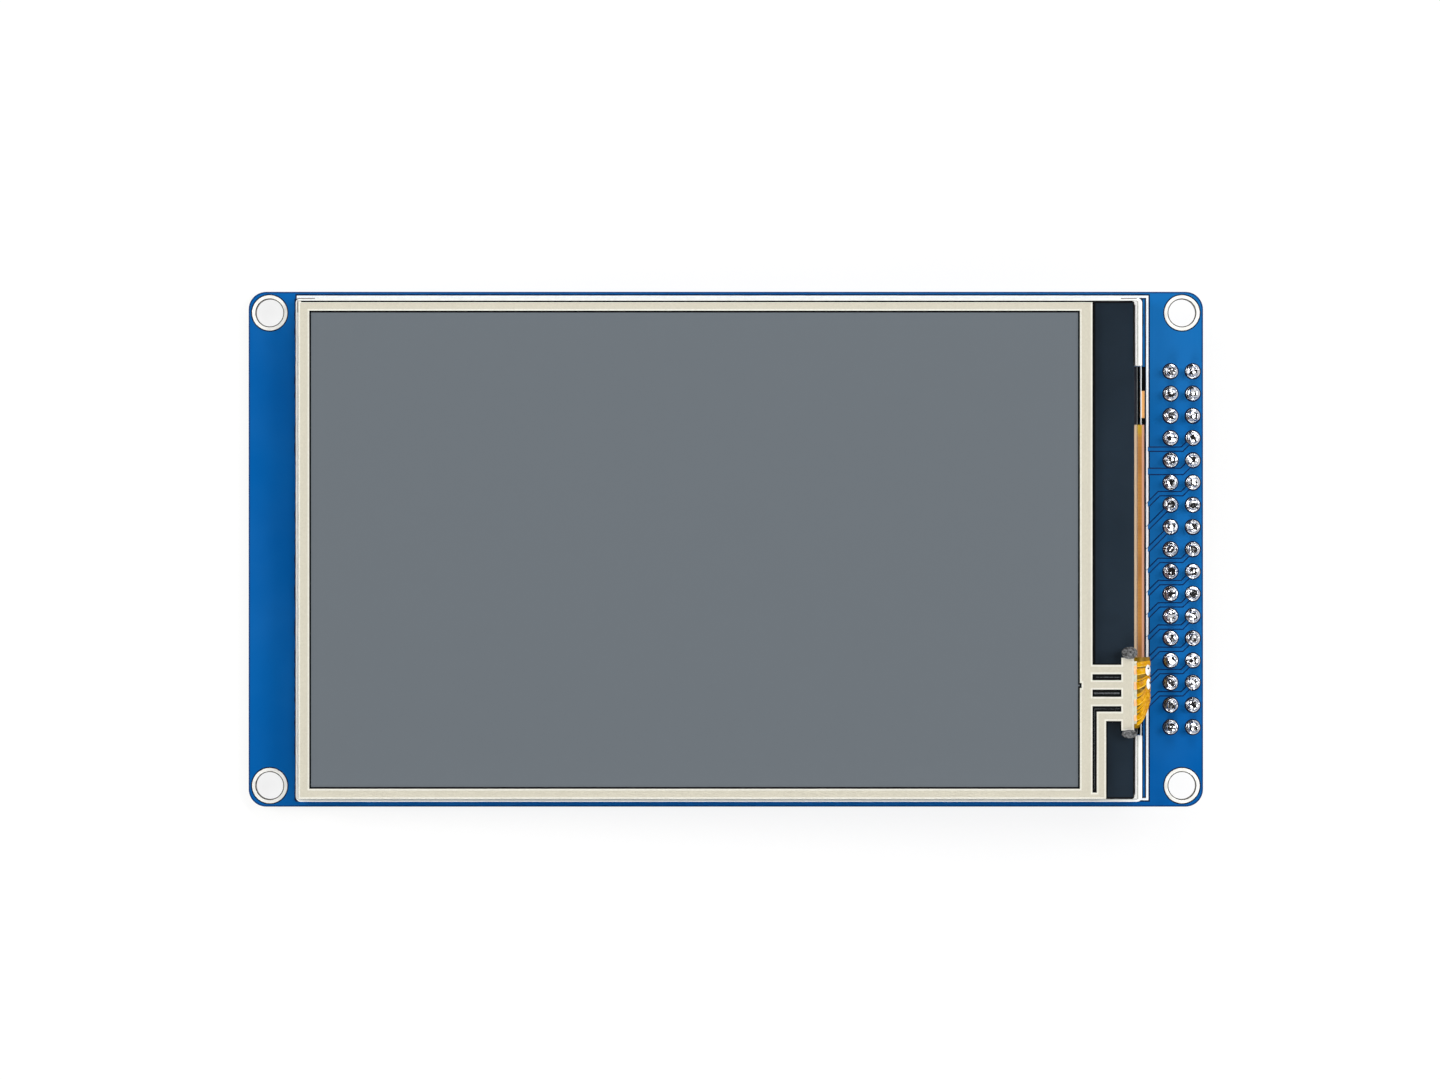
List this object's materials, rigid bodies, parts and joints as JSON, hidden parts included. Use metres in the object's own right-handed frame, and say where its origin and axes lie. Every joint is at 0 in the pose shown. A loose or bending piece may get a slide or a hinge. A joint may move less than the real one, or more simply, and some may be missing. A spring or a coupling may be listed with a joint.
{
  "type": "TFT display module",
  "caption": "Flat colour display panel with a resistive touch layer on a blue circuit board, with corner mounting holes and a square-pin header on the back of one edge.",
  "frame": {"origin": "centre of the four mounting holes on the board's back face", "axes": "+X towards the pin header's edge, +Y towards the screen's top edge, +Z out of the screen"},
  "size_m": [0.109, 0.0588, 0.0147],
  "materials": {
    "board_mask": "gloss",
    "tinned_copper": "gloss",
    "solder": "gloss",
    "gold_pin": "gloss",
    "header_black": "satin",
    "white_print": "matte",
    "foam_black": "matte",
    "reflector_white": "gloss",
    "frame_white": "satin",
    "light_guide_clear": "gloss",
    "optical_film": "satin",
    "tape_black": "satin",
    "cell_glass": "gloss",
    "polarizer_grey": "satin",
    "chip_silicon": "gloss",
    "touch_glass": "gloss",
    "border_cream": "satin",
    "touch_film": "gloss",
    "flex_orange": "satin",
    "flex_yellow": "satin",
    "glue_grey": "satin",
    "led_white": "satin",
    "package_black": "matte",
    "lead_tin": "satin",
    "ferrite_grey": "matte",
    "capacitor_tan": "satin",
    "resistor_black": "satin"
  },
  "bodies": {
    "root": {"circuit_board": "board_mask", "header_body": "header_black", "header_pins": "gold_pin", "header_solder_joints": "solder", "outline_print": "white_print", "back_marks": "white_print", "foam_pad_upper": "foam_black", "foam_pad_lower": "foam_black", "foam_pad_left": "foam_black", "reflector_sheet": "reflector_white", "backlight_frame": "frame_white", "light_guide": "light_guide_clear", "diffuser_sheet": "optical_film", "prism_sheet_lower": "optical_film", "prism_sheet_upper": "optical_film", "led_flex": "flex_orange", "light_shield_tape": "tape_black", "rear_polarizer": "polarizer_grey", "tft_glass": "cell_glass", "colour_filter_glass": "cell_glass", "front_polarizer": "polarizer_grey", "driver_chip": "chip_silicon", "driver_cover_tape": "tape_black", "display_flex": "flex_orange", "display_flex_solder": "solder", "touch_bonding_tape": "tape_black", "touch_glass": "touch_glass", "touch_border_print": "border_cream", "touch_film": "touch_film", "touch_tail": "flex_yellow", "touch_tail_solder": "solder", "led_flex_solder": "solder", "glue_dab_upper": "glue_grey", "glue_dab_lower": "glue_grey", "touch_controller_body": "package_black", "touch_controller_leads": "lead_tin", "voltage_regulator_body": "package_black", "voltage_regulator_leads": "lead_tin", "backlight_driver_body": "package_black", "backlight_driver_leads": "lead_tin", "boost_inductor_core": "ferrite_grey", "boost_inductor_plates": "lead_tin", "boost_diode_body": "package_black", "boost_diode_plates": "lead_tin", "chip_capacitors": "capacitor_tan", "chip_resistors": "resistor_black", "chip_terminals": "lead_tin", "mounting_hole_plating_1": "tinned_copper", "mounting_hole_plating_2": "tinned_copper", "mounting_hole_plating_3": "tinned_copper", "mounting_hole_plating_4": "tinned_copper", "led_1": "led_white", "led_2": "led_white", "led_3": "led_white", "led_4": "led_white", "led_5": "led_white", "led_6": "led_white"}
  },
  "joints": []
}
